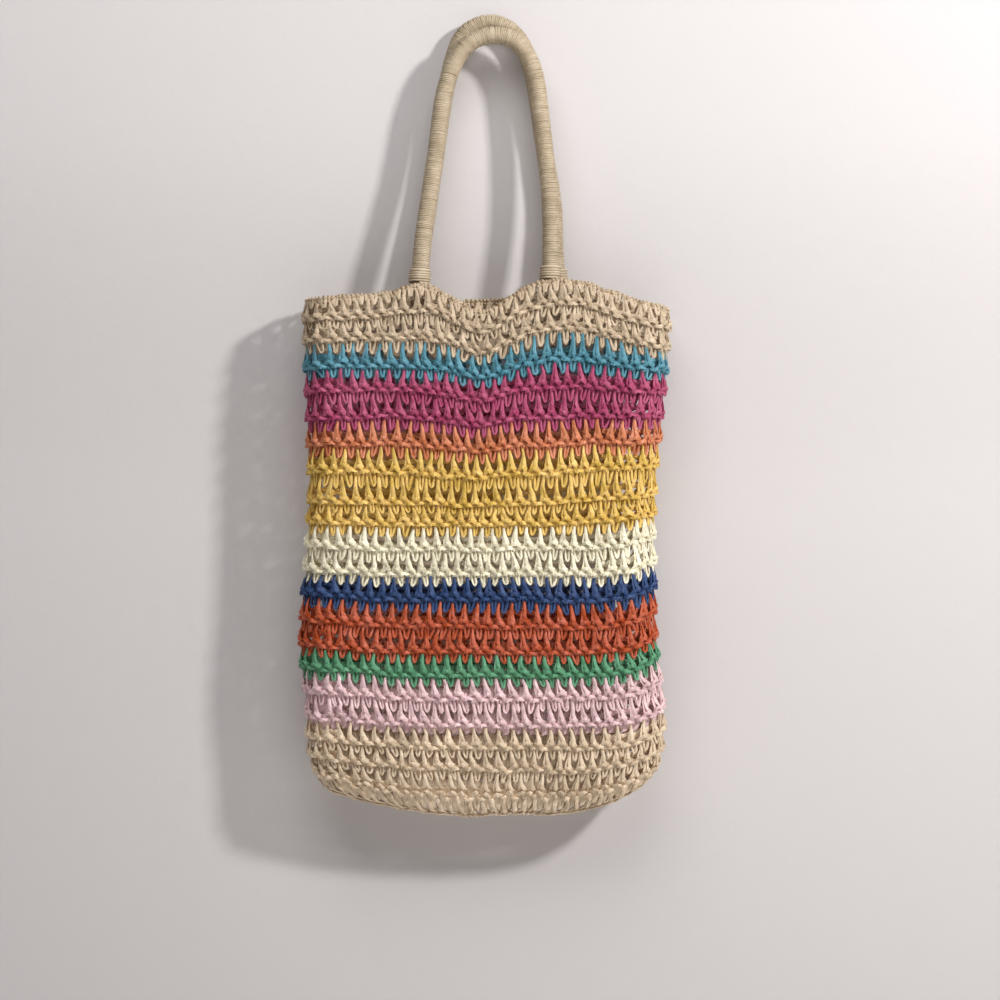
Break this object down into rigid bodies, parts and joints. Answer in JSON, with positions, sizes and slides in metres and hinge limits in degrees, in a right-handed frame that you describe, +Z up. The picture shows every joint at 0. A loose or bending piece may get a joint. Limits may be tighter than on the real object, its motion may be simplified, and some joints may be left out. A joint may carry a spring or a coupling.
{
  "type": "crocheted straw tote bag",
  "caption": "Tall flat tote crocheted in the round from twisted paper straw in rainbow stripes, open at the top, hung by two long twine-wound rope handles.",
  "frame": {"origin": "the point under the crowns of both handles where a peg carries the bag", "axes": "+Z up, +Y from the front wall to the back wall, +X to the right seen from the front"},
  "size_m": [0.2934, 0.0552, 0.6409],
  "materials": {
    "natural_straw": "twisted paper straw, dyed, slightly waxy",
    "turquoise_straw": "twisted paper straw, dyed, slightly waxy",
    "magenta_straw": "twisted paper straw, dyed, slightly waxy",
    "orange_straw": "twisted paper straw, dyed, slightly waxy",
    "yellow_straw": "twisted paper straw, dyed, slightly waxy",
    "white_straw": "twisted paper straw, dyed, slightly waxy",
    "blue_straw": "twisted paper straw, dyed, slightly waxy",
    "red_straw": "twisted paper straw, dyed, slightly waxy",
    "green_straw": "twisted paper straw, dyed, slightly waxy",
    "pink_straw": "twisted paper straw, dyed, slightly waxy",
    "base_straw": "twisted paper straw, dyed, slightly waxy",
    "handle_twine": "thin twisted straw twine, wound side by side",
    "handle_rope": "matte laid rope"
  },
  "bodies": {
    "root": {"rim_band": "natural_straw", "turquoise_band": "turquoise_straw", "magenta_band": "magenta_straw", "orange_band": "orange_straw", "yellow_band": "yellow_straw", "white_band": "white_straw", "blue_band": "blue_straw", "red_band": "red_straw", "green_band": "green_straw", "pink_band": "pink_straw", "base_band": "base_straw", "handle_front_winding": "handle_twine", "handle_front_core": "handle_rope", "lashing_front_left": "handle_twine", "lashing_front_right": "handle_twine", "handle_back_winding": "handle_twine", "handle_back_core": "handle_rope", "lashing_back_left": "handle_twine", "lashing_back_right": "handle_twine"}
  },
  "joints": []
}
